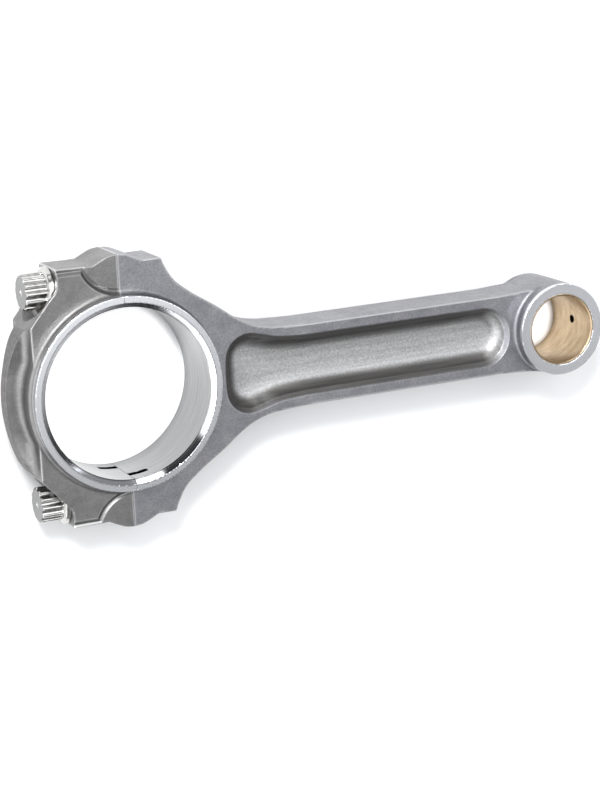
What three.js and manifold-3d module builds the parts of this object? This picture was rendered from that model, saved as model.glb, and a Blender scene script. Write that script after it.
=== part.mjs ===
// An engine connecting rod lying on its side: forged I-beam rod, bolted big-end cap, two 12-point
// cap screws, two locating sleeves at the joint and a bronze bush in the small end.
// Millimetres. +Z is the crankpin axis, +X runs from the big end to the small end.
// The rod is first drawn with the big-end centre on the origin, and mirrored about Z = 0 and Y = 0.

import * as THREE from 'three';
import * as BufferGeometryUtils from 'three/addons/utils/BufferGeometryUtils.js';
import Module from 'manifold-3d';

const wasm = await Module();
wasm.setup();

// ---- Driving dimensions -------------------------------------------------------------------------
const CENTRE_DISTANCE = 160.0; // crankpin axis to wrist-pin axis, 6.300 in
const END_HALF_WIDTH = 12.9; // thrust faces of both ends
const BEAM_HALF_DEPTH = 8.5; // flanges of the I-beam and the big-end shoulders
const PAD_HALF_DEPTH = 9.2; // raised pads on the flanks of the cap
const JOINT_HALF_GAP = 0.05; // each face of the cap joint, from X = 0
const FIT = 0.1; // radial clearance between nested pieces

const HOUSING_R = 28.25; // big-end housing bore, 2.224 in across
const HOUSING_CHAMFER = 1.6;
const RING_R = 32.0; // machined thrust ring
const RING_FOOT_R = 33.0; // where its fillet runs into the flank
const RING_FOOT_HALF = 9.6;

const SHOULDER_Y = 45.2; // the bump at the joint
const SHOULDER_VALLEY = [8.6, 42.2];
const SHOULDER_CORNER = [14.9, 42.3];

const BEAM_HALF_WIDTH = 13.7;
const POCKET_HALF_WIDTH = 10.4;
const POCKET_FLOOR = 3.0; // half of the web between the two pockets
const POCKET_FLOOR_ROUND = 4.2;
const POCKET_END_X = 131.3; // centre of the pocket's round end

const SMALL_END_R = 16.0;
const SMALL_END_EDGE = 0.5;
const SMALL_END_FOOT = 1.4; // width of the fillet at the boss's foot
const BUSH_OUTER_R = 12.5;
const BUSH_BORE_R = 11.8;
const BUSH_HALF = 12.8;
const BUSH_EDGE = 0.3;
const OIL_HOLE_R = 1.3;

const CAP_SEAT_X = -20.7; // spot face under the bolt heads
const CAP_PAD_EDGE_Y = 40.0;
const CAP_TIP = [-31.2, 24.0];
const CAP_RELIEF = [46.0, 14.1]; // centre height and radius of the relief beside the joint
const SPINE_CENTRE_X = 8.5;
const SPINE_R = 47.1;
const SPINE_END = [-33.1, 22.0];
const SPINE_STEPS = [[2.6, 0], [3.5, 2.4], [5.4, 4.2]]; // half width, and how far in it stands

const BOLT_Y = 35.0;
const BOLT_HEAD_END_X = -30.0;
const BOLT_HEAD_X = -23.2;
const BOLT_END_X = 17.4; // 1.500 in under the head
const BOLT_THREAD_X = 8.0; // where the thread begins
const BOLT_POINTS = 12;
const BOLT_CHAMFER = 0.7;
const BOLT_SHANK_R = 5.0;
const BOLT_THREAD_R = 5.5;
const BOLT_FLANGE_R = 7.4;
const BOLT_POINT_R = 6.15;
const BOLT_ROOT_R = 5.35;
const BOLT_DIMPLE_R = 1.1;
const BOLT_HOLE_R = 5.8;
const BOLT_HOLE_END_X = 32.0; // the tapped hole breaks out through the neck
const SEAT_RECESS_R = 8.1;
const SLEEVE_R = 6.1;
const SLEEVE_HALF = 5.8;

const NOTCH_LENGTH = 6.6; // bearing-tang notches, one in each half of the housing
const NOTCH_WIDTH = 2.8;
const NOTCH_DEPTH = 1.5;
const NOTCH_Z = 5.4;

const LARGE_SEGMENTS = 80;
const BORE_SEGMENTS = 64;
const HOLE_SEGMENTS = 32;
const CURVE_SEGMENTS = 10;
const FAR = 60; // long enough to cut right through
const TURN = 2 * Math.PI;

// ---- Solids -------------------------------------------------------------------------------------
function toSolid(geometry) {
  const bare = geometry.index ? geometry.toNonIndexed() : geometry.clone();
  bare.deleteAttribute('normal');
  bare.deleteAttribute('uv');
  const merged = BufferGeometryUtils.mergeVertices(bare, 1e-4);
  const vertProperties = new Float32Array(merged.attributes.position.array);
  const triVerts = new Uint32Array(merged.index.array);
  return new wasm.Manifold(new wasm.Mesh({ numProp: 3, vertProperties, triVerts }));
}

function union(first, ...others) {
  return others.reduce((sum, solid) => sum.add(solid), first);
}

// A flat plate between two heights. bevel rounds its two faces inwards by that much.
function plate(shape, low, high, bevel = 0) {
  const geometry = new THREE.ExtrudeGeometry(shape, {
    depth: high - low - 2 * bevel,
    curveSegments: CURVE_SEGMENTS,
    bevelEnabled: bevel > 0,
    bevelThickness: bevel,
    bevelSize: bevel,
    bevelOffset: -bevel,
    bevelSegments: 3,
  });
  geometry.translate(0, 0, low + bevel);
  return toSolid(geometry);
}

function symmetricPlate(shape, half) {
  return plate(shape, -half, half);
}

// profile lists [radius, height] from the bottom of the axis to its top, turned about +Z.
function turned(profile, segments, x = 0) {
  const points = profile.map(([r, z]) => new THREE.Vector2(r, z));
  const geometry = new THREE.LatheGeometry(points, segments);
  geometry.rotateX(Math.PI / 2);
  geometry.translate(x, 0, 0);
  return toSolid(geometry);
}

// The same, turned about a line along +X at the height y; profile lists [radius, x].
function turnedAlongX(profile, segments, y) {
  const points = profile.map(([r, x]) => new THREE.Vector2(r, x));
  const geometry = new THREE.LatheGeometry(points, segments);
  geometry.rotateZ(-Math.PI / 2);
  geometry.translate(0, y, 0);
  return toSolid(geometry);
}

function rodAlongX(radius, from, to, y, segments = HOLE_SEGMENTS) {
  return turnedAlongX([[0, from], [radius, from], [radius, to], [0, to]], segments, y);
}

function block(xMin, xMax, yMin, yMax, zMin, zMax) {
  const geometry = new THREE.BoxGeometry(xMax - xMin, yMax - yMin, zMax - zMin);
  geometry.translate((xMin + xMax) / 2, (yMin + yMax) / 2, (zMin + zMax) / 2);
  return toSolid(geometry);
}

const vectors = (pairs, side = 1) => pairs.map(([x, y]) => new THREE.Vector2(x, side * y));

// A closed shape from the upper half of its outline, mirrored about the X axis.
function mirroredShape(upper) {
  const lower = [...upper].reverse().map((point) => new THREE.Vector2(point.x, -point.y));
  return new THREE.Shape([...upper, ...lower]);
}

function arcPoints(cx, cy, radius, from, to, count) {
  const points = [];
  for (let i = 0; i <= count; i += 1) {
    const angle = from + ((to - from) * i) / count;
    points.push(new THREE.Vector2(cx + radius * Math.cos(angle), cy + radius * Math.sin(angle)));
  }
  return points;
}

function smooth(pairs, count) {
  return new THREE.SplineCurve(vectors(pairs)).getPoints(count);
}

// ---- Outlines -----------------------------------------------------------------------------------
function shoulderBump(side) {
  return smooth([
    [side * JOINT_HALF_GAP, SHOULDER_Y],
    [side * 3.2, SHOULDER_Y - 0.5],
    [side * 6.0, SHOULDER_Y - 1.7],
    [side * SHOULDER_VALLEY[0], SHOULDER_VALLEY[1]],
  ], 8);
}

function rodOutline() {
  const neck = smooth([
    SHOULDER_CORNER, [16.3, 38.8], [19.3, 34.2], [25.0, 29.5], [33.0, 24.2],
    [39.5, 19.4], [45.5, 16.2], [53.0, 14.4], [66.0, BEAM_HALF_WIDTH],
  ], 20);
  const flare = smooth([[138.0, BEAM_HALF_WIDTH], [147.0, 14.2], [156.0, 15.6]], 6);
  const end = arcPoints(CENTRE_DISTANCE, 0, SMALL_END_R, Math.PI / 2, 0.06, 10);
  return mirroredShape([...shoulderBump(1), ...neck, ...flare, ...end]);
}

function pocketOutline() {
  const bulb = smooth([
    [34.9, 0.8], [35.5, 7.6], [38.6, 11.9], [43.6, 13.6], [48.6, 12.7], [54.5, 11.2],
    [64.0, POCKET_HALF_WIDTH],
  ], 15);
  const end = arcPoints(POCKET_END_X, 0, POCKET_HALF_WIDTH, Math.PI / 2, 0.08, 10);
  return mirroredShape([...bulb, ...end]);
}

function capOutline() {
  const bump = shoulderBump(-1);
  const seat = smooth([[CAP_SEAT_X, 38.0], [-21.2, 35.9], [-22.4, 34.3], [-23.8, 32.9]], 4);
  const land = vectors([CAP_TIP, [-30.6, 18.5]]);
  const crown = arcPoints(0, 0, RING_FOOT_R, Math.PI - 0.4, Math.PI - 0.03, 8);
  const corner = vectors([[CAP_SEAT_X, SHOULDER_CORNER[1] + 0.1]]);
  return mirroredShape([...bump, ...corner, ...seat, ...land, ...crown].reverse());
}

// The raised flank pad: the cap outline less its outer ledge and the round relief at the joint.
function padTool() {
  const ledge = block(-FAR, FAR, CAP_PAD_EDGE_Y, FAR, -FAR, FAR);
  const reach = CAP_RELIEF[1];
  const relief = turned([[0, -FAR], [reach, -FAR], [reach, FAR], [0, FAR]], BORE_SEGMENTS);
  const upper = union(ledge, relief.translate([0, CAP_RELIEF[0], 0]));
  return union(upper, upper.mirror([0, 1, 0]));
}

function spineOutline(standIn) {
  const radius = SPINE_R - standIn;
  const reach = Math.asin(SPINE_END[1] / SPINE_R);
  const arc = arcPoints(SPINE_CENTRE_X, 0, radius, Math.PI - reach, Math.PI - 0.02, 12);
  return mirroredShape([...vectors([[-20.0, 20.0], [-23.8, 32.9]]), ...arc].reverse());
}

// ---- Shared cuts --------------------------------------------------------------------------------
const ringSide = [
  [RING_R, END_HALF_WIDTH], [RING_R, RING_FOOT_HALF + 1], [RING_R + 0.4, RING_FOOT_HALF + 0.3],
  [RING_FOOT_R, RING_FOOT_HALF - 0.2], [RING_FOOT_R + 1, PAD_HALF_DEPTH - 0.2],
];
const ringUnder = [...ringSide].reverse().map(([r, z]) => [r, -z]).reverse();
const ringDisc = turned([
  [0, -END_HALF_WIDTH], ...ringUnder, ...[...ringSide].reverse(), [0, END_HALF_WIDTH],
], LARGE_SEGMENTS);

const chamferReach = 1; // the chamfer cone carries on past the thrust face
const housingMouth = HOUSING_R + HOUSING_CHAMFER + chamferReach;
const housingBore = turned([
  [0, -END_HALF_WIDTH - chamferReach],
  [housingMouth, -END_HALF_WIDTH - chamferReach],
  [HOUSING_R, -END_HALF_WIDTH + HOUSING_CHAMFER],
  [HOUSING_R, END_HALF_WIDTH - HOUSING_CHAMFER],
  [housingMouth, END_HALF_WIDTH + chamferReach],
  [0, END_HALF_WIDTH + chamferReach],
], LARGE_SEGMENTS);

function tangNotch(side) {
  const xs = [0, side * NOTCH_LENGTH].sort((a, b) => a - b);
  const z = side * NOTCH_Z;
  return block(
    xs[0] - 1, xs[1] + (side > 0 ? 0 : 1), -HOUSING_R - NOTCH_DEPTH, -HOUSING_R + 3,
    z - NOTCH_WIDTH / 2, z + NOTCH_WIDTH / 2,
  );
}

const rodSide = block(JOINT_HALF_GAP, 2 * FAR, -FAR, FAR, -FAR, FAR);
const capSide = block(-FAR, -JOINT_HALF_GAP, -FAR, FAR, -FAR, FAR);

// ---- Rod body -----------------------------------------------------------------------------------
function makeRodBody() {
  const outline = rodOutline();
  const foot = SMALL_END_R - SMALL_END_EDGE;
  const boss = turned([
    [0, -END_HALF_WIDTH], [foot, -END_HALF_WIDTH], [SMALL_END_R, -END_HALF_WIDTH + SMALL_END_EDGE],
    [SMALL_END_R, END_HALF_WIDTH - SMALL_END_EDGE], [foot, END_HALF_WIDTH], [0, END_HALF_WIDTH],
  ], BORE_SEGMENTS, CENTRE_DISTANCE);
  const footTop = BEAM_HALF_DEPTH + SMALL_END_FOOT;
  const bossFoot = turned([
    [0, -footTop], [SMALL_END_R, -footTop], [SMALL_END_R + 0.4, -footTop + 0.9],
    [SMALL_END_R + SMALL_END_FOOT, -BEAM_HALF_DEPTH], [SMALL_END_R + SMALL_END_FOOT, BEAM_HALF_DEPTH],
    [SMALL_END_R + 0.4, footTop - 0.9], [SMALL_END_R, footTop], [0, footTop],
  ], BORE_SEGMENTS, CENTRE_DISTANCE).intersect(symmetricPlate(outline, footTop));

  let body = union(
    symmetricPlate(outline, BEAM_HALF_DEPTH), ringDisc.intersect(rodSide), boss, bossFoot,
  );
  const pocket = pocketOutline();
  const pocketTop = BEAM_HALF_DEPTH + 2 * POCKET_FLOOR_ROUND;
  const upperPocket = plate(pocket, POCKET_FLOOR, pocketTop, POCKET_FLOOR_ROUND);
  const bush = BUSH_OUTER_R + FIT;
  const bushBore = turned([[0, -FAR], [bush, -FAR], [bush, FAR], [0, FAR]], BORE_SEGMENTS, CENTRE_DISTANCE);
  const oilHole = rodAlongX(OIL_HOLE_R, CENTRE_DISTANCE, CENTRE_DISTANCE + FAR, 0, 16);
  body = body.subtract(housingBore).subtract(upperPocket).subtract(upperPocket.mirror([0, 0, 1]));
  body = body.subtract(bushBore).subtract(oilHole).subtract(tangNotch(1));
  for (const y of [BOLT_Y, -BOLT_Y]) {
    body = body.subtract(rodAlongX(BOLT_HOLE_R, -1, BOLT_HOLE_END_X, y));
    body = body.subtract(rodAlongX(SLEEVE_R + FIT, -1, SLEEVE_HALF + FIT, y));
  }
  return body;
}

// ---- Cap ----------------------------------------------------------------------------------------
function makeCap() {
  const outline = capOutline();
  const flank = symmetricPlate(outline, BEAM_HALF_DEPTH);
  const pad = symmetricPlate(outline, PAD_HALF_DEPTH).subtract(padTool());
  let body = union(flank, pad, ringDisc.intersect(capSide));
  for (const [half, standIn] of SPINE_STEPS) {
    body = body.add(symmetricPlate(spineOutline(standIn), half));
  }
  body = body.subtract(housingBore).subtract(tangNotch(-1));
  for (const y of [BOLT_Y, -BOLT_Y]) {
    body = body.subtract(rodAlongX(BOLT_HOLE_R, -FAR, 1, y));
    body = body.subtract(rodAlongX(SLEEVE_R + FIT, -SLEEVE_HALF - FIT, 1, y));
    body = body.subtract(rodAlongX(SEAT_RECESS_R, -FAR, CAP_SEAT_X, y));
  }
  return body;
}

// ---- Small pieces -------------------------------------------------------------------------------
// A 12-point head on a conical flange, a necked shank and a threaded end, about the bolt's own axis.
function makeBolt(y) {
  const seat = CAP_SEAT_X - JOINT_HALF_GAP;
  const stem = turnedAlongX([
    [0, BOLT_HEAD_X], [BOLT_POINT_R, BOLT_HEAD_X], [BOLT_FLANGE_R, BOLT_HEAD_X + 1],
    [BOLT_FLANGE_R, seat], [BOLT_SHANK_R, seat], [BOLT_SHANK_R, BOLT_THREAD_X - 1],
    [BOLT_THREAD_R, BOLT_THREAD_X], [BOLT_THREAD_R, BOLT_END_X - 1], [BOLT_THREAD_R - 1, BOLT_END_X],
    [0, BOLT_END_X],
  ], HOLE_SEGMENTS, y);
  const points = [];
  for (let i = 0; i < 2 * BOLT_POINTS; i += 1) {
    const angle = (TURN * i) / (2 * BOLT_POINTS);
    const radius = i % 2 === 0 ? BOLT_POINT_R : BOLT_ROOT_R;
    points.push(new THREE.Vector2(radius * Math.cos(angle), radius * Math.sin(angle)));
  }
  const head = new THREE.ExtrudeGeometry(new THREE.Shape(points), {
    depth: BOLT_HEAD_X - BOLT_HEAD_END_X + 0.5, bevelEnabled: false,
  });
  head.rotateY(Math.PI / 2);
  head.translate(BOLT_HEAD_END_X, y, 0);
  const crown = turnedAlongX([
    [0, BOLT_HEAD_END_X], [BOLT_ROOT_R, BOLT_HEAD_END_X],
    [BOLT_POINT_R + 0.1, BOLT_HEAD_END_X + BOLT_CHAMFER],
    [BOLT_POINT_R + 0.1, BOLT_HEAD_X + 1], [0, BOLT_HEAD_X + 1],
  ], HOLE_SEGMENTS, y);
  const dimple = turnedAlongX([
    [0, BOLT_HEAD_END_X - 1], [BOLT_DIMPLE_R + 1, BOLT_HEAD_END_X - 1], [0, BOLT_HEAD_END_X + BOLT_DIMPLE_R],
  ], 16, y);
  return toSolid(head).intersect(crown).add(stem).subtract(dimple);
}

function makeSleeve(y) {
  const bore = BOLT_HOLE_R;
  const half = SLEEVE_HALF;
  return turnedAlongX([
    [bore, -half], [SLEEVE_R, -half], [SLEEVE_R, half], [bore, half], [bore, -half],
  ], HOLE_SEGMENTS, y);
}

function makeBush() {
  const ring = turned([
    [BUSH_BORE_R + BUSH_EDGE, -BUSH_HALF], [BUSH_OUTER_R, -BUSH_HALF], [BUSH_OUTER_R, BUSH_HALF],
    [BUSH_BORE_R + BUSH_EDGE, BUSH_HALF], [BUSH_BORE_R, BUSH_HALF - BUSH_EDGE],
    [BUSH_BORE_R, -BUSH_HALF + BUSH_EDGE], [BUSH_BORE_R + BUSH_EDGE, -BUSH_HALF],
  ], BORE_SEGMENTS, CENTRE_DISTANCE);
  return ring.subtract(rodAlongX(OIL_HOLE_R, CENTRE_DISTANCE, CENTRE_DISTANCE + FAR, 0, 16));
}

// ---- Assembly -----------------------------------------------------------------------------------
const steel = (color, roughness, metalness) => new THREE.MeshStandardMaterial({
  color, roughness, metalness,
});

// The finished rod stands with the middle of its underside on the origin.
const CROWN_X = SPINE_CENTRE_X - SPINE_R;
const MIDDLE_X = (CROWN_X + CENTRE_DISTANCE + SMALL_END_R) / 2;
const rod = new THREE.Group();
rod.position.set(-MIDDLE_X, 0, END_HALF_WIDTH);

function addPiece(name, solid, material) {
  const { vertProperties, triVerts } = solid.getMesh();
  const geometry = new THREE.BufferGeometry();
  geometry.setAttribute('position', new THREE.BufferAttribute(new Float32Array(vertProperties), 3));
  geometry.setIndex(new THREE.BufferAttribute(new Uint32Array(triVerts), 1));
  geometry.computeVertexNormals();
  const mesh = new THREE.Mesh(geometry, material);
  mesh.name = name;
  rod.add(mesh);
}

addPiece('rod_body', makeRodBody(), steel(0x8d8e92, 0.42, 0.95));
addPiece('rod_cap', makeCap(), steel(0x7f7d7a, 0.45, 0.95));
addPiece('cap_bolt_left', makeBolt(BOLT_Y), steel(0xb9b7ae, 0.28, 1.0));
addPiece('cap_bolt_right', makeBolt(-BOLT_Y), steel(0xb9b7ae, 0.28, 1.0));
addPiece('dowel_sleeve_left', makeSleeve(BOLT_Y), steel(0x9a9a9a, 0.35, 1.0));
addPiece('dowel_sleeve_right', makeSleeve(-BOLT_Y), steel(0x9a9a9a, 0.35, 1.0));
addPiece('small_end_bush', makeBush(), steel(0xb08d57, 0.35, 0.9));

export default rod;
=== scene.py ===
"""A connecting rod: fine meshes on the CAD bodies, their metals, the floor, the lights and the camera."""

import math

import bpy
import numpy as np
from mathutils import Matrix, Vector, kdtree


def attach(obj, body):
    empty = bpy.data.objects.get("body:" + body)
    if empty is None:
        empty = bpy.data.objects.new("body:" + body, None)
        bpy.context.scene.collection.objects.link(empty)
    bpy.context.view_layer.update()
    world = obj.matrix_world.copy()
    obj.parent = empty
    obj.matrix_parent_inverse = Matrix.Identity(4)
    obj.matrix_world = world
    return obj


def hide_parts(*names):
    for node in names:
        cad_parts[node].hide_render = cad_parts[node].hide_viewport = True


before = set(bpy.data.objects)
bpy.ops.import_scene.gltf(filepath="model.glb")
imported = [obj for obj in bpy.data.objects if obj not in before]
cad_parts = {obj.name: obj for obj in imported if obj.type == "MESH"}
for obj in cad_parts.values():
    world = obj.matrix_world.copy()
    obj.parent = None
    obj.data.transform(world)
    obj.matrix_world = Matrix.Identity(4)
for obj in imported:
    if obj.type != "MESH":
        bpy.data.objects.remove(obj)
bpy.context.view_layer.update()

# ---- Dimensions, in millimetres from the crankpin axis at mid thickness -----------------------
MIDDLE_X = 68.7
HALF = 12.9
CENTRES = 160.0
FLANK = 8.5
PAD = 9.2
GAP = 0.05
HOUSING_R = 28.25
CHAMFER_Z = 11.3
RING_R = 32.0
SMALL_END_R = 16.0
BOSS_FILLET = 1.4
BUSH_R = 12.5
PIN_R = 11.8
BUSH_HALF = 12.8
OIL_R = 1.3
BOLT_Y = 35.0
SEAT_X = -20.7
HOLE_R = 5.8
SLEEVE_R = 6.1
SLEEVE_HALF = 5.8
SPINE_X = 8.5
SPINE_R = 47.1
PAD_EDGE = ((0.0, 1.0, 1.3, 1.7, 2.3), (9.2, 8.15, 8.05, 8.15, 8.5))  # its height, out from the pad
SHARP = 0.08  # radius of a machined edge

WEB_HALF = 2.9  # half of the web in the middle of the pockets
WEB_RISE = 1.4  # how far a pocket's floor rises towards its walls,
WEB_RISE_REACH = 9.5  # over this much of its width
POCKET_STEP = 1.3  # from the bevel's rim in to the wall
POCKET_ROUND = 4.5
BEVEL_DEPTH = 1.8

LAND_R = 33.0
LAND_X = -30.5
RELIEF_R = 14.1
RELIEF_Y = 46.0
PAD_EDGE_Y = 40.0
SPINE_HALF = 2.45
SPINE_SPREAD = 1.6  # how much its half width grows between the two heights
SPINE_SPREAD_Y = (9.0, 23.0)
SEAT_R = 8.1

HEAD_END_X = -30.0
HEAD_R = 5.98
HEAD_FLAT = 5.25  # from the screw's axis to each flat
FLUTE_PLACE = 6.15
FLUTE_R = 1.05
FLANGE_X = -23.0
FLANGE_R = 7.4
THREAD_R = 5.5
THREAD_DEPTH = 0.62
THREAD_PITCH = 1.27
SCREW_END_X = 17.4

NOTCH_HALF = (3.8, 1.75, 1.4)  # bearing-tang notches


# ---- Camera -----------------------------------------------------------------------------------
def add_camera():
    data = bpy.data.cameras.new("camera")
    data.lens = 104.904
    data.sensor_width = 36.0
    data.clip_start = 0.01
    camera = bpy.data.objects.new("camera", data)
    bpy.context.scene.collection.objects.link(camera)
    camera.matrix_world = Matrix((
        (0.90684, 0.14321, -0.39639, -0.31551),
        (-0.04817, 0.96956, 0.24009, 0.17489),
        (0.4187, -0.19863, 0.88613, 0.70973),
        (0.0, 0.0, 0.0, 1.0),
    ))
    bpy.context.scene.camera = camera


# ---- Outlines ---------------------------------------------------------------------------------
def spline(points, count):
    """A smooth curve through the points."""
    p = np.array(points, float)
    out = []
    for i in range(len(p) - 1):
        a, b = p[max(i - 1, 0)], p[i]
        c, d = p[i + 1], p[min(i + 2, len(p) - 1)]
        u, v = (c - a) / 2, (d - b) / 2
        for t in np.linspace(0, 1, count, endpoint=False):
            out.append((2 * b - 2 * c + u + v) * t**3 + (3 * c - 3 * b - 2 * u - v) * t**2 + u * t + b)
    return out + [p[-1]]


def arc(cx, cy, radius, start, end, count=60):
    angles = np.linspace(start, end, count)
    return [np.array((cx + radius * math.cos(a), cy + radius * math.sin(a))) for a in angles]


class Outline:
    """Signed distance to an outline walked with the solid on its right, kept on a fine grid."""

    STEP = 0.25

    def __init__(self, points, low, high):
        points = np.array(points, float)
        length = np.r_[0, np.cumsum(np.hypot(*np.diff(points, axis=0).T))]
        keep = np.r_[True, np.diff(length) > 1e-6]
        points, length = points[keep], length[keep]
        at = np.linspace(0, length[-1], int(length[-1] / 0.2) + 2)
        p = np.stack([np.interp(at, length, points[:, k]) for k in (0, 1)], axis=1)
        tree = kdtree.KDTree(len(p))
        for i, (x, y) in enumerate(p):
            tree.insert((x, y, 0), i)
        tree.balance()
        self.low = np.array(low, float)
        xs = np.arange(low[0], high[0] + self.STEP, self.STEP)
        ys = np.arange(low[1], high[1] + self.STEP, self.STEP)
        q = np.stack(np.meshgrid(xs, ys, indexing="ij"), axis=-1).reshape(-1, 2)
        near = np.array([tree.find((x, y, 0))[1] for x, y in q])
        along = np.diff(p, axis=0)
        across = np.stack([-along[:, 1], along[:, 0]], axis=1)
        across /= np.hypot(*across.T)[:, None]
        corner = np.r_[across[:1], (across[1:] + across[:-1]) / 2, across[-1:]]
        best = np.full(len(q), 1e9)
        for shift in (-1, 0):
            k = np.clip(near + shift, 0, len(along) - 1)
            t = np.clip(((q - p[k]) * along[k]).sum(1) / (along[k] ** 2).sum(1), 0, 1)[:, None]
            gap = q - p[k] - t * along[k]
            side = ((1 - t) * corner[k] + t * corner[k + 1]) * gap
            signed = np.hypot(*gap.T) * np.where(side.sum(1) < 0, -1, 1)
            best = np.where(np.abs(signed) < np.abs(best), signed, best)
        self.grid = best.reshape(len(xs), len(ys))

    def __call__(self, x, y):
        u = (x - self.low[0]) / self.STEP
        v = (np.abs(y) - self.low[1]) / self.STEP
        i = np.clip(u.astype(int), 1, self.grid.shape[0] - 3)
        j = np.clip(v.astype(int), 1, self.grid.shape[1] - 3)
        total = 0
        wu, wv = self.weights(u - i), self.weights(v - j)
        for a in range(4):
            for b in range(4):
                total = total + wu[a] * wv[b] * self.grid[i + a - 1, j + b - 1]
        return total

    @staticmethod
    def weights(t):
        t = np.clip(t, 0, 1)
        return ((1 - t) ** 3 / 6, (3 * t**3 - 6 * t**2 + 4) / 6,
                (-3 * t**3 + 3 * t**2 + 3 * t + 1) / 6, t**3 / 6)


def bump(side):
    return spline([(0, 45.2), (side * 3.2, 44.7), (side * 6.0, 43.5), (side * 8.6, 42.2)], 24)


def rod_outline():
    neck = spline([(14.9, 42.3), (16.3, 38.8), (19.3, 34.2), (25.0, 29.5), (33.0, 24.2), (39.5, 19.4),
                   (45.5, 16.2), (53.0, 14.4), (66.0, 13.7)], 24)
    flare = spline([(138.0, 13.7), (147.0, 14.2), (152.0, 14.6), (156.0, 14.4)], 24)
    end = arc(CENTRES, 0, SMALL_END_R - BOSS_FILLET, math.pi / 2 - 0.15, -0.4)
    return Outline([(-30, 45.2)] + bump(1) + neck + flare + end, (-6, -1.5), (182, 52))


def pocket_outline():
    bulb = spline([(34.9, -0.8), (34.9, 0.8), (35.5, 7.6), (38.6, 11.9), (43.6, 13.6), (48.6, 12.7),
                   (54.5, 11.2), (64.0, 10.4)], 24)
    return Outline(bulb + arc(131.3, 0, 10.4, math.pi / 2, -0.3), (28, -1.5), (150, 24))


def cap_outline():
    seat = spline([(-23.8, 32.9), (-22.4, 34.3), (-21.2, 35.9), (SEAT_X, 38.0)], 16)
    points = [(-51.9, 0), (-33.1, 22.0)] + seat + [(SEAT_X, 42.4)] + bump(-1)[::-1] + [(30, 45.2)]
    return Outline(points, (-46, -1.5), (6, 52))


# ---- Solid shapes: a field is the distance to the surface, below zero inside -------------------
def both(a, b, edge):
    """Where both shapes are, with the edge between them rounded."""
    return np.minimum(np.maximum(a, b), -edge) + np.hypot(np.maximum(a + edge, 0), np.maximum(b + edge, 0))


def either(a, b, fillet):
    """Where one shape or the other is, with a fillet between them."""
    inner = np.hypot(np.maximum(fillet - a, 0), np.maximum(fillet - b, 0))
    return np.maximum(np.minimum(a, b), fillet) - inner


def ramp(value, start, end):
    return np.clip((value - start) / (end - start), 0, 1)


def smooth_ramp(value, start, end):
    t = ramp(value, start, end)
    return t * t * (3 - 2 * t)


def box_field(x, y, z, centre, half):
    return np.maximum(np.maximum(np.abs(x - centre[0]) - half[0], np.abs(y - centre[1]) - half[1]),
                      np.abs(z - centre[2]) - half[2])


def housing(x, y, z):
    r = np.hypot(x, y)
    return np.minimum(r - HOUSING_R, (r - HOUSING_R - np.abs(z) + CHAMFER_Z) / math.sqrt(2))


def thrust_ring(x, y, z):
    return both(np.hypot(x, y) - RING_R, np.abs(z) - HALF, SHARP)


def bolt_way(x, y, z, side):
    """The bolt's clearance hole and the sleeve's counterbore, on one side of the joint."""
    r = np.hypot(np.abs(y) - BOLT_Y, z)
    hole = np.maximum(r - HOLE_R, side * x - 32)
    return np.minimum(hole, np.maximum(r - SLEEVE_R - 0.1, np.abs(x) - SLEEVE_HALF - 0.1))


def rod_field(outline, pocket):
    def field(x, y, z):
        h = np.abs(z)
        side, well = outline(x, y), pocket(x, y)
        body = both(side, h - FLANK, 0.3)
        body = either(body, thrust_ring(x, y, z), 1.6)
        r = np.hypot(x - CENTRES, y)
        body = either(body, both(r - SMALL_END_R, h - HALF, SHARP), BOSS_FILLET)
        floor = WEB_HALF + WEB_RISE * (1 - ramp(-well, 0.0, WEB_RISE_REACH)) ** 2 - h
        bevel = np.maximum((well + np.maximum(FLANK - h, -0.3)) / math.sqrt(2), FLANK - BEVEL_DEPTH - h)
        cut = np.minimum(both(well + POCKET_STEP, floor, POCKET_ROUND), bevel)
        body = both(body, -cut, SHARP)
        body = np.maximum(body, -housing(x, y, z))
        body = np.maximum(body, BUSH_R + 0.02 - r)
        body = np.maximum(body, -np.maximum(np.hypot(y, z) - OIL_R, CENTRES - x))
        body = np.maximum(body, -box_field(x, y, z, (2.8, -28.0, 5.4), NOTCH_HALF))
        body = np.maximum(body, -bolt_way(x, y, z, 1))
        return both(body, GAP - x, 0.07)
    return field


def cap_field(outline):
    def field(x, y, z):
        h, v = np.abs(z), np.abs(y)
        side = outline(x, y)
        r0 = np.hypot(x, y)
        land = np.minimum(r0 - LAND_R, LAND_X - x)
        beyond = np.maximum(RELIEF_R - np.hypot(x, v - RELIEF_Y), v - PAD_EDGE_Y)
        top = np.interp(beyond, PAD_EDGE[0], PAD_EDGE[1])
        body = both(land, h - top, 0.35)
        reach = np.hypot(x - SPINE_X, y)
        width = SPINE_HALF + SPINE_SPREAD * smooth_ramp(v, *SPINE_SPREAD_Y)
        spine = both(np.maximum(reach - SPINE_R, x + 20), h - width, 0.5)
        body = either(body, spine, 3.0)
        body = both(body, side, 0.4)
        body = either(body, thrust_ring(x, y, z), 1.7)
        seat = np.maximum(np.hypot(v - BOLT_Y, z) - SEAT_R - 0.9 * ramp(-x, 24.2, 25.0), x - SEAT_X)
        body = both(body, -seat, 0.2)
        body = np.maximum(body, -housing(x, y, z))
        body = np.maximum(body, -box_field(x, y, z, (-2.8, -28.0, -5.4), NOTCH_HALF))
        body = np.maximum(body, -bolt_way(x, y, z, -1))
        return both(body, x + GAP, 0.07)
    return field


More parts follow.
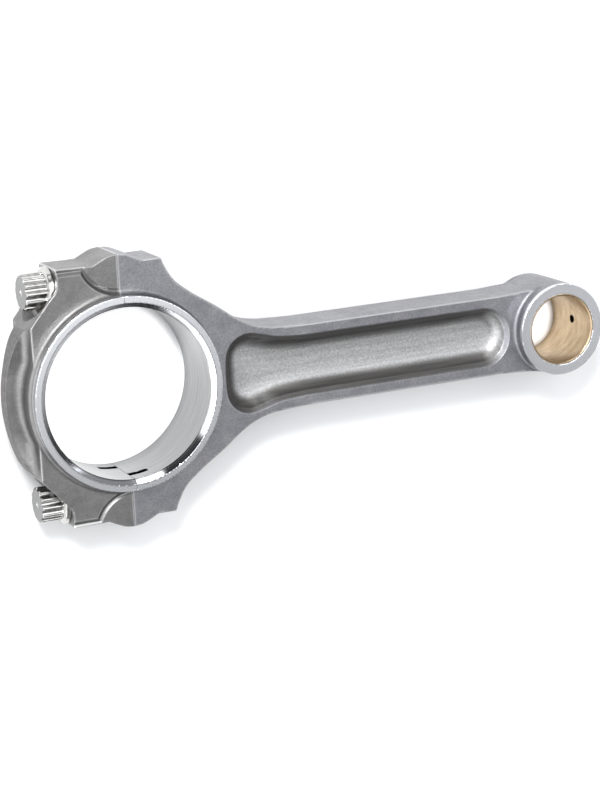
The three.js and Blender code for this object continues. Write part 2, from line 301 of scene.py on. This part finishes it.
def bolt_field(centre_y):
    """A 12-point flanged screw with a necked shank and rolled threads."""
    def field(x, y, z):
        y = y - centre_y
        r = np.hypot(y, z)
        turn = np.arctan2(z, y)
        flats = []
        for start in (0.0, math.pi / 6):
            wedge = (turn + start) % (math.pi / 3) - math.pi / 6
            flats.append(r * np.cos(wedge) - HEAD_FLAT)
        star = either(flats[0], flats[1], 0.25)
        lean = turn % (math.pi / 6) - math.pi / 12
        flute = np.hypot(r * np.cos(lean) - FLUTE_PLACE, r * np.sin(lean)) - FLUTE_R
        star = both(star, -flute, 0.12)
        head = both(star, r - HEAD_R, 0.12)
        head = both(head, np.maximum(HEAD_END_X - x, x + 22.0), 0.15)
        head = both(head, (r - 5.3 - (x + 30.0) * 1.3) / 1.64, 0.1)
        flange = both(r - FLANGE_R, np.maximum(FLANGE_X - x, x - SEAT_X - GAP + 0.1), 0.25)
        flange = both(flange, (r - 6.3 - (x + 23.0) * 1.9) / 2.15, 0.2)
        body = either(head, flange, 0.2)
        phase = np.abs(((x / THREAD_PITCH - turn / (2 * math.pi)) % 1.0) - 0.5) * 2
        threaded = ramp(x, 6.0, 9.5)
        thread = (THREAD_R - THREAD_DEPTH * (1 - phase)) * threaded + 4.9 * (1 - threaded)
        neck = np.maximum(r - np.where(x < 5, 4.75 + 0.25 * ramp(np.abs(x + 16), 0, 6), thread), -21.0 - x)
        neck = both(neck, x - SCREW_END_X, 0.2)
        neck = np.maximum(neck, (r - THREAD_R + (x - 16.2)) / math.sqrt(2))
        body = either(body, neck, 0.4)
        dimple = np.hypot(r, x + 30.6) - 1.3
        return both(body, -dimple, 0.15)
    return field


def bush_field(x, y, z):
    r = np.hypot(x - CENTRES, y)
    h = np.abs(z)
    body = both(np.maximum(r - BUSH_R, PIN_R - r), h - BUSH_HALF, 0.12)
    body = np.maximum(body, -(r - PIN_R - 0.3 - (h - BUSH_HALF)) / math.sqrt(2))
    return np.maximum(body, -(np.maximum(np.hypot(y, z) - OIL_R, CENTRES - x)))


# ---- Meshing: one vertex in each cell that the surface crosses, set on its edges and corners ---
def slope(field, p, step):
    g = np.empty_like(p)
    for k in range(3):
        d = np.zeros(3)
        d[k] = step
        g[:, k] = (field(*(p + d).T) - field(*(p - d).T)) / (2 * step)
    return g


def unit(v):
    return v / np.maximum(np.linalg.norm(v, axis=1), 1e-9)[:, None]


def crossing(field, start, started_inside, axis, step):
    """Where the surface cuts the grid edges that leave these points along the axis."""
    along = np.zeros(3)
    along[axis] = step
    near, far = np.zeros(len(start)), np.ones(len(start))
    for _ in range(6):
        middle = (near + far) / 2
        same = (field(*(start + middle[:, None] * along).T) < 0) == started_inside
        near, far = np.where(same, middle, near), np.where(same, far, middle)
    return start + ((near + far) / 2)[:, None] * along


def contour(field, low, high, step):
    """Vertices and quads of the surface where the field is zero."""
    low = np.array(low, float) - 0.137 * step
    axes = [low[k] + step * np.arange(int((high[k] - low[k]) / step) + 3) for k in range(3)]
    value = field(*np.meshgrid(*axes, indexing="ij", sparse=True))
    value = np.broadcast_to(value, tuple(len(a) for a in axes))
    inside = value < 0
    shape = np.array(value.shape)
    cells, points, flips = [], [], []
    for k in range(3):
        a = [slice(None)] * 3
        b = [slice(None)] * 3
        a[k], b[k] = slice(None, -1), slice(1, None)
        at = np.argwhere(inside[tuple(a)] != inside[tuple(b)])
        f0 = value[tuple(at.T)]
        p = crossing(field, low + step * at, f0 < 0, k, step)
        u, v = (k + 1) % 3, (k + 2) % 3
        ring = []
        for du, dv in ((-1, -1), (0, -1), (0, 0), (-1, 0)):
            c = at.copy()
            c[:, u] += du
            c[:, v] += dv
            ring.append(c @ np.array([shape[1] * shape[2], shape[2], 1]))
        cells.append(np.stack(ring, axis=1))
        points.append(p)
        flips.append(f0 > 0)
    quads = np.concatenate(cells)
    points = np.concatenate(points)
    flips = np.concatenate(flips)
    normal = unit(slope(field, points, 0.04))
    ids, quads = np.unique(quads, return_inverse=True)
    quads = quads.reshape(-1, 4)
    flat = quads.ravel()
    n4, p4 = np.repeat(normal, 4, axis=0), np.repeat(points, 4, axis=0)
    size = len(ids)
    total = lambda w: np.bincount(flat, w, size)
    count = total(np.ones(len(flat)))
    middle = np.stack([total(p4[:, k]) for k in range(3)], axis=1) / count[:, None]
    matrix = np.empty((size, 3, 3))
    for i in range(3):
        for j in range(3):
            matrix[:, i, j] = total(n4[:, i] * n4[:, j])
    plane = (n4 * p4).sum(1)
    right = np.stack([total(n4[:, k] * plane) for k in range(3)], axis=1)
    right -= np.einsum("nij,nj->ni", matrix, middle)
    w, basis = np.linalg.eigh(matrix)
    keep = w > 0.06 * w[:, 2:]
    inverse = np.where(keep, 1 / np.where(keep, w, 1), 0)
    shift = np.einsum("nij,nj,nkj,nk->ni", basis, inverse, basis, right)
    cell = np.stack(np.unravel_index(ids, tuple(shape)), axis=1)
    corner = low + step * cell
    quads[flips] = quads[flips][:, ::-1]
    return np.clip(middle + shift, corner, corner + step), quads


def settle(field, place, step):
    """The vertices moved onto the surface."""
    for _ in range(2):
        off = field(*place.T)
        g = slope(field, place, 0.03)
        move = -(off / np.maximum((g**2).sum(1), 0.25))[:, None] * g
        place = place + np.clip(move, -0.15 * step, 0.15 * step)
    return place


def corner_normals(field, place, faces, inset=0.13):
    """A normal for each corner of each face, taken a little way inside the face so that edges stay crisp."""
    inward = place[faces].mean(1)[:, None] - place[faces]
    length = np.linalg.norm(inward, axis=2, keepdims=True)
    p = (place[faces] + inward * np.minimum(0.8, inset / np.maximum(length, 1e-6))).reshape(-1, 3)
    total = 0
    for k in ((1, -1, -1), (-1, -1, 1), (-1, 1, -1), (1, 1, 1)):
        k = np.array(k, float)
        total = total + k * field(*(p + 0.05 * k).T)[:, None]
    return unit(total)


def add_mesh(name, place, faces, normals, masks):
    """A named object in the row frame. masks are numbers on its vertices that its material reads."""
    mesh = bpy.data.meshes.new(name)
    world = (place - np.array([MIDDLE_X, 0, -HALF])) / 1000
    mesh.from_pydata(world.tolist(), [], faces.tolist())
    mesh.polygons.foreach_set("use_smooth", [True] * len(mesh.polygons))
    for key, values in masks.items():
        layer = mesh.attributes.new(key, "FLOAT", "POINT")
        layer.data.foreach_set("value", values.astype(np.float32))
    if normals is not None:
        mesh.normals_split_custom_set(normals.tolist())
    piece = bpy.data.objects.new(name, mesh)
    bpy.context.scene.collection.objects.link(piece)
    return piece


def turned(name, profile, centre_y, segments=96):
    """A ring turned about a line along X; profile lists (radius, x) all the way round its section."""
    angles = np.linspace(0, 2 * math.pi, segments, endpoint=False)
    place = np.array([(x, centre_y + r * math.cos(a), r * math.sin(a)) for a in angles for r, x in profile])
    n = len(profile)
    faces = np.array([(i * n + k, i * n + (k + 1) % n, (i + 1) % segments * n + (k + 1) % n,
                       (i + 1) % segments * n + k) for i in range(segments) for k in range(n)])
    return add_mesh(name, place, faces, None, {})


# ---- Metals -----------------------------------------------------------------------------------
class Nodes:
    def __init__(self, name):
        self.material = bpy.data.materials.new(name)
        self.material.use_nodes = True
        self.tree = self.material.node_tree
        self.shader = self.tree.nodes["Principled BSDF"]
        self.place = self.new("ShaderNodeTexCoord").outputs["Object"]

    def new(self, kind, **settings):
        node = self.tree.nodes.new(kind)
        for key, value in settings.items():
            setattr(node, key, value)
        return node

    def set(self, socket, value):
        if isinstance(value, bpy.types.NodeSocket):
            self.tree.links.new(value, socket)
        else:
            socket.default_value = value

    def maths(self, operation, a, b):
        node = self.new("ShaderNodeMath", operation=operation)
        self.set(node.inputs[0], a)
        self.set(node.inputs[1], b)
        return node.outputs[0]

    def scaled(self, scale):
        node = self.new("ShaderNodeMapping")
        self.set(node.inputs["Vector"], self.place)
        node.inputs["Scale"].default_value = scale
        return node.outputs[0]

    def noise(self, scale, detail=3.0, roughness=0.55, vector=None):
        """Noise with scale features to a metre."""
        node = self.new("ShaderNodeTexNoise")
        self.set(node.inputs["Vector"], vector or self.place)
        node.inputs["Scale"].default_value = scale
        node.inputs["Detail"].default_value = detail
        node.inputs["Roughness"].default_value = roughness
        return node.outputs["Fac"]

    def spread(self, value, low, high, to_low=0.0, to_high=1.0):
        node = self.new("ShaderNodeMapRange")
        self.set(node.inputs["Value"], value)
        for key, number in zip(("From Min", "From Max", "To Min", "To Max"), (low, high, to_low, to_high)):
            node.inputs[key].default_value = number
        return node.outputs[0]

    def mix(self, factor, a, b):
        node = self.new("ShaderNodeMix", data_type="RGBA")
        self.set(node.inputs[0], factor)
        self.set(node.inputs[6], a)
        self.set(node.inputs[7], b)
        return node.outputs[2]

    def mask(self, name):
        return self.new("ShaderNodeAttribute", attribute_name=name).outputs["Fac"]

    def bump(self, height, distance, strength):
        node = self.new("ShaderNodeBump")
        self.set(node.inputs["Height"], height)
        node.inputs["Distance"].default_value = distance
        node.inputs["Strength"].default_value = strength
        return node.outputs[0]

    def rings(self, centres, scale):
        """Fine turning marks about the nearest of the axes along Z at these places on X."""
        parts = self.new("ShaderNodeSeparateXYZ")
        self.set(parts.inputs[0], self.place)
        level = self.new("ShaderNodeCombineXYZ")
        self.set(level.inputs[0], parts.outputs[0])
        self.set(level.inputs[1], parts.outputs[1])
        nearest = None
        for centre in centres:
            away = self.new("ShaderNodeVectorMath", operation="DISTANCE")
            self.set(away.inputs[0], level.outputs[0])
            away.inputs[1].default_value = (centre, 0, 0)
            r = away.outputs["Value"]
            nearest = r if nearest is None else self.maths("MINIMUM", nearest, r)
        marks = self.new("ShaderNodeCombineXYZ")
        self.set(marks.inputs[0], self.maths("MULTIPLY", nearest, scale))
        self.set(marks.inputs[1], self.maths("MULTIPLY", parts.outputs[2], scale))
        return self.noise(1.0, 2.0, 0.6, marks.outputs[0])

    def finish(self, color, roughness, normal, metallic=1.0):
        self.set(self.shader.inputs["Base Color"], color)
        self.set(self.shader.inputs["Roughness"], roughness)
        self.set(self.shader.inputs["Normal"], normal)
        self.shader.inputs["Metallic"].default_value = metallic
        return self.material


def grey(value, warm=0.0):
    return (value * (1 + warm), value, value * (1 - warm), 1.0)


def forged_metal(name, satin, painted_shade, floor, bright):
    """Peened steel, bright where it was machined, with painted shade, painted light and a painted edge
    highlight laid on through the masks. Each color is a pair, darker first.
    """
    m = Nodes(name)
    mottle = m.spread(m.noise(95.0, 5.0, 0.6), 0.36, 0.66)
    blotch = m.spread(m.noise(420.0, 3.0, 0.6), 0.35, 0.65)
    tone = m.maths("ADD", m.maths("MULTIPLY", mottle, 0.65), m.maths("MULTIPLY", blotch, 0.35))
    color = m.mix(tone, satin[0], satin[1])
    speck = m.spread(m.noise(1500.0, 2.0, 0.7), 0.34, 0.66)
    streak = m.spread(m.noise(1.0, 4.0, 0.6, m.scaled((45.0, 900.0, 500.0))), 0.3, 0.7)
    # Painted light: the pocket floor is made lighter by colour.
    color = m.mix(m.mask("painted_floor_light"), color, m.mix(streak, floor[0], floor[1]))
    # Painted shade: the pocket walls, and on the cap its crest, are darkened by colour.
    color = m.mix(m.mask("pocket"), color, m.mix(streak, painted_shade[0], painted_shade[1]))
    cuts = m.rings((-MIDDLE_X / 1000, (CENTRES - MIDDLE_X) / 1000), 5000.0)
    color = m.mix(m.maths("MULTIPLY", speck, 0.42), color, grey(0.13))
    color = m.mix(m.mask("turned"), color, m.mix(m.spread(cuts, 0.3, 0.7), bright[0], bright[1]))
    hone = m.noise(1.0, 3.0, 0.6, m.scaled((60.0, 60.0, 3500.0)))
    honed = m.mix(m.spread(hone, 0.3, 0.7), grey(0.17, -0.01), grey(0.26, -0.01))
    color = m.mix(m.mask("bore"), color, honed)
    # Painted highlight along convex edges.
    color = m.mix(m.maths("MULTIPLY", m.mask("edge"), 0.55), color, grey(0.86))
    # Painted shade: the oil hole and the bearing-tang notches are darkened by colour.
    color = m.mix(m.mask("painted_hole_shade"), color, grey(0.015))
    grain = m.noise(2600.0, 3.0, 0.65)
    rough = m.spread(grain, 0.3, 0.7, 0.38, 0.48)
    rough = m.maths("ADD", rough, m.maths("MULTIPLY", m.mask("pocket"), 0.14))
    turned_rough = m.spread(cuts, 0.3, 0.7, 0.18, 0.27)
    turned_rough = m.maths("SUBTRACT", turned_rough, m.maths("MULTIPLY", m.mask("chamfer"), 0.12))
    gap = m.maths("MULTIPLY", m.mask("turned"), m.maths("SUBTRACT", turned_rough, rough))
    rough = m.maths("ADD", rough, gap)
    fuzz = m.maths("MULTIPLY", grain, m.maths("SUBTRACT", 1.0, m.mask("turned")))
    return m.finish(color, rough, m.bump(fuzz, 0.00012, 0.5))


def plain_metal(name, dark, light, rough):
    """Plated or drawn steel, rougher and duller where the mask end is set."""
    m = Nodes(name)
    tone = m.spread(m.noise(260.0, 4.0, 0.6), 0.35, 0.65)
    fine = m.noise(3000.0, 3.0, 0.6)
    pits = m.spread(m.noise(2200.0, 2.0, 0.7), 0.35, 0.65)
    color = m.mix(m.mask("end"), m.mix(tone, dark, light), m.mix(pits, grey(0.20), grey(0.3)))
    gloss = m.spread(fine, 0.3, 0.7, rough[0], rough[1])
    gloss = m.maths("ADD", gloss, m.maths("MULTIPLY", m.mask("end"), 0.2))
    return m.finish(color, gloss, m.bump(fine, 0.00003, 0.4))


def bush_metal():
    m = Nodes("bronze_bushing")
    smear = m.spread(m.noise(1.0, 4.0, 0.6, m.scaled((160.0, 160.0, 500.0))), 0.35, 0.65)
    color = m.mix(smear, (0.40, 0.30, 0.195, 1), (0.55, 0.44, 0.30, 1))
    hone = m.noise(1.0, 2.0, 0.6, m.scaled((900.0, 900.0, 5000.0)))
    # Painted shade: the oil hole is darkened by colour.
    color = m.mix(m.mask("painted_hole_shade"), color, (0.03, 0.02, 0.015, 1))
    return m.finish(color, m.spread(hone, 0.3, 0.7, 0.24, 0.40), m.bump(hone, 0.00003, 0.4))


# ---- Pieces -----------------------------------------------------------------------------------
def edge_highlight_mask(field, place, reach=0.45):
    """Where the surface turns sharply outwards; a painted highlight is laid along these edges."""
    n = unit(slope(field, place, 0.1))
    sunk = field(*(place - n * reach).T) + reach
    return np.clip(sunk / (0.30 * reach), 0, 1)


def build(name, body, node, field, box, step, material, masks):
    """One piece: its field is meshed inside the box, and it rides on the body in place of the node."""
    place, faces = contour(field, *box, step)
    place = settle(field, place, step)
    normals = corner_normals(field, place, faces)
    piece = add_mesh(name, place, faces, normals, masks(field, place))
    piece.data.materials.append(material)
    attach(piece, body)
    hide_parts(node)


def metal_masks(pocket=None):
    """Masks for the rod, given its pocket's outline, or for the cap."""
    def masks(field, place):
        x, y, z = place.T
        normals = unit(slope(field, place, 0.1))
        r, h = np.hypot(x, y), np.abs(z)
        s = np.hypot(x - CENTRES, y)
        ring = ramp(h, 10.2, 10.9) * ramp(-r, -RING_R - 1.0, -RING_R - 0.4) + ramp(-r, -30.6, -30.0)
        small = ramp(-s, -SMALL_END_R - 0.7, -SMALL_END_R - 0.3) * ramp(h, 11.6, 12.3)
        turned_part = np.clip(ring + small, 0, 1)
        # Painted shade in the bearing-tang notches and the oil hole.
        notch = (y < -28.0) * (r > HOUSING_R + 0.2) * (r < 31) * (np.abs(x) < 7.2) * (h < 7.5)
        oil_hole = (np.hypot(y, z) < OIL_R + 0.1) * (x > CENTRES)
        bore = ramp(-r, -29.0, -28.6) * ramp(-h, -11.9, -11.4)
        # Painted shade on the cap's crest: this mask darkens it by colour.
        painted_crest_shade = ramp(np.hypot(x - SPINE_X, y), 46.2, 46.9) * (x < -30) * (np.abs(y) < 24)
        painted_shade, floor = painted_crest_shade, np.zeros(len(x))
        if pocket is not None:
            depth = -pocket(x, y)
            within = ramp(depth, -0.1, 0.5) * (1 - ramp(h, 8.2, 8.5)) * (s > 20)
            # Painted light on the pocket floor: this mask lightens it by colour.
            floor = within * ramp(depth, 0.9, 1.6)
            steep = smooth_ramp(np.hypot(normals[:, 0], normals[:, 1]), 0.10, 0.75)
            # Painted shade: the steep pocket walls are darkened by colour. The shade is lifted where a wall
            # faces -X, so the small-end wall stays light as a painted highlight.
            painted_shade = within * steep * (1 - 0.9 * smooth_ramp(-normals[:, 0], 0.1, 0.5))
        return {
            "turned": turned_part,
            "pocket": painted_shade,
            "painted_floor_light": floor,
            "painted_hole_shade": np.maximum(notch, oil_hole),
            "bore": bore,
            "chamfer": ramp(-r, -30.1, -29.9) * (1 - bore),
            # Painted highlight along convex edges.
            "edge": edge_highlight_mask(field, place) * (1 - turned_part),
        }
    return masks


def bolt_masks(field, place):
    return {"end": ramp(-place[:, 0], 29.75, 29.95)}


def bush_masks(field, place):
    x, y, z = place.T
    # Painted shade in the oil hole.
    return {"painted_hole_shade": (np.hypot(y, z) < OIL_R + 0.08) * (x > CENTRES) * 1.0}


def make_forgings(coarse):
    pocket = pocket_outline()
    bright = ((0.79, 0.80, 0.83, 1), (0.92, 0.93, 0.96, 1))
    rod_steel = forged_metal("peened_steel",
                             satin=((0.25, 0.25, 0.275, 1), (0.375, 0.375, 0.395, 1)),
                             # Colours of the painted shade on the pocket walls.
                             painted_shade=(grey(0.11, 0.04), grey(0.19, 0.04)),
                             # Colours of the painted light on the pocket floor.
                             floor=(grey(0.47), grey(0.62)), bright=bright)
    build("rod_forging", "rod", "rod_body", rod_field(rod_outline(), pocket),
          ((-0.5, -46, -13.5), (176.6, 46, 13.5)), 0.5 * coarse, rod_steel, metal_masks(pocket))
    cap_steel = forged_metal("peened_cap_steel",
                             satin=(grey(0.20, 0.015), grey(0.30, 0.015)),
                             # Colours of the painted shade on the crest.
                             painted_shade=(grey(0.13, 0.02), grey(0.21, 0.02)),
                             floor=(grey(0.4), grey(0.5)), bright=bright)
    build("cap_forging", "cap", "rod_cap", cap_field(cap_outline()),
          ((-39.5, -46, -13.5), (0.6, 46, 13.5)), 0.4 * coarse, cap_steel, metal_masks())


def make_screws(coarse):
    steel = plain_metal("nickel_screw_steel", (0.44, 0.435, 0.42, 1), (0.62, 0.615, 0.60, 1), (0.14, 0.24))
    for side, name in ((1, "left"), (-1, "right")):
        y = side * BOLT_Y
        build("screw_" + name, "bolt_" + name, "cap_bolt_" + name, bolt_field(y),
              ((-30.6, y - 8, -8), (17.8, y + 8, 8)), 0.25 * coarse, steel, bolt_masks)


def make_bush(coarse):
    build("bush", "rod", "small_end_bush", bush_field,
          ((CENTRES - 13.1, -13.1, -13.2), (CENTRES + 13.1, 13.1, 13.2)), 0.36 * coarse,
          bush_metal(), bush_masks)


def make_sleeves():
    steel = plain_metal("sleeve_steel", grey(0.42), grey(0.58), (0.25, 0.38))
    edge_x = -SLEEVE_HALF + 0.15
    ends = [(HOLE_R, edge_x), (HOLE_R + 0.1, -SLEEVE_HALF),
            (SLEEVE_R - 0.1, -SLEEVE_HALF), (SLEEVE_R, edge_x)]
    section = ends + [(r, -x) for r, x in ends[::-1]]
    for side, name in ((1, "left"), (-1, "right")):
        piece = turned("locating_sleeve_" + name, section, side * BOLT_Y)
        piece.data.materials.append(steel)
        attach(piece, "rod")
        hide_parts("dowel_sleeve_" + name)


# ---- Floor, lights and surroundings -----------------------------------------------------------
def add_floor():
    """White paper that glows inside the two bores, painted light that keeps shadow off the paper seen
    through them.
    """
    mesh = bpy.data.meshes.new("floor")
    mesh.from_pydata([(-3, -3, 0), (3, -3, 0), (3, 3, 0), (-3, 3, 0)], [], [(0, 1, 2, 3)])
    floor = bpy.data.objects.new("floor", mesh)
    bpy.context.scene.collection.objects.link(floor)
    m = Nodes("white_paper")
    tone = m.spread(m.noise(4.0, 2.0, 0.5), 0.3, 0.7)
    mesh.materials.append(m.finish(m.mix(tone, grey(0.86), grey(0.88)), m.spread(tone, 0, 1, 0.9, 0.95),
                                   m.bump(tone, 0.0001, 0.1), 0.0))
    # Painted light: the paper glows inside each bore.
    glow = 0.0
    for centre, radius, strength in ((-MIDDLE_X, HOUSING_R, 0.6), (CENTRES - MIDDLE_X, PIN_R, 0.9)):
        away = m.new("ShaderNodeVectorMath", operation="DISTANCE")
        m.set(away.inputs[0], m.place)
        away.inputs[1].default_value = (centre / 1000, 0, 0)
        spot = m.spread(away.outputs["Value"], (radius - 0.2) / 1000, (radius - 2.5) / 1000, 0.0, strength)
        glow = m.maths("ADD", spot, glow)
    m.set(m.shader.inputs["Emission Strength"], glow)
    m.shader.inputs["Emission Color"].default_value = (1, 1, 1, 1)


def add_light(name, towards, distance, size, power):
    data = bpy.data.lights.new(name, "AREA")
    data.shape = "RECTANGLE"
    data.size, data.size_y = size
    data.energy = power
    light = bpy.data.objects.new(name, data)
    bpy.context.scene.collection.objects.link(light)
    direction = Vector(towards).normalized()
    light.location = direction * distance
    light.rotation_euler = direction.to_track_quat("Z", "Y").to_euler()


def add_surroundings():
    """A grey studio with soft boxes to the left, the back and the right, and a dark gap at the back left."""
    world = bpy.data.worlds.new("studio")
    bpy.context.scene.world = world
    world.use_nodes = True
    tree = world.node_tree
    view = tree.nodes.new("ShaderNodeTexCoord").outputs["Generated"]
    total = None
    for direction, start, end, base, strength in (
        ((-0.42, 0.80, 0.43), 0.91, 0.95, 0.26, -0.24),
        ((-0.82, 0.02, 0.55), 0.84, 0.90, 0.0, 2.0),
        ((-0.74, -0.60, 0.28), 0.90, 0.95, 0.0, 1.8),
        ((-0.30, -0.94, 0.12), 0.92, 0.97, 0.0, 1.0),
        ((0.12, 0.94, 0.32), 0.975, 0.985, 0.0, 2.4),
        ((0.12, 0.26, 0.90), 0.845, 0.93, 0.0, 2.1),
        ((0.75, -0.20, 0.63), 0.935, 0.98, 0.0, 0.6),
    ):
        dot = tree.nodes.new("ShaderNodeVectorMath")
        dot.operation = "DOT_PRODUCT"
        tree.links.new(view, dot.inputs[0])
        dot.inputs[1].default_value = Vector(direction).normalized()
        box = tree.nodes.new("ShaderNodeMapRange")
        box.interpolation_type = "SMOOTHSTEP"
        tree.links.new(dot.outputs["Value"], box.inputs["Value"])
        limits = (("From Min", start), ("From Max", end), ("To Min", base), ("To Max", base + strength))
        for key, number in limits:
            box.inputs[key].default_value = number
        if total is not None:
            add = tree.nodes.new("ShaderNodeMath")
            tree.links.new(box.outputs[0], add.inputs[0])
            tree.links.new(total, add.inputs[1])
            total = add.outputs[0]
        else:
            total = box.outputs[0]
    tree.nodes["Background"].inputs[0].default_value = (0.97, 0.98, 1.0, 1)
    tree.links.new(total, tree.nodes["Background"].inputs[1])
    add_light("key", (-0.40, 0.56, 0.77), 1.2, (0.24, 0.24), 11.5)
    bpy.context.scene.view_settings.view_transform = "Standard"


add_camera()
add_floor()
add_surroundings()
coarse = 1.0
make_forgings(coarse)
make_screws(coarse)
make_bush(coarse)
make_sleeves()
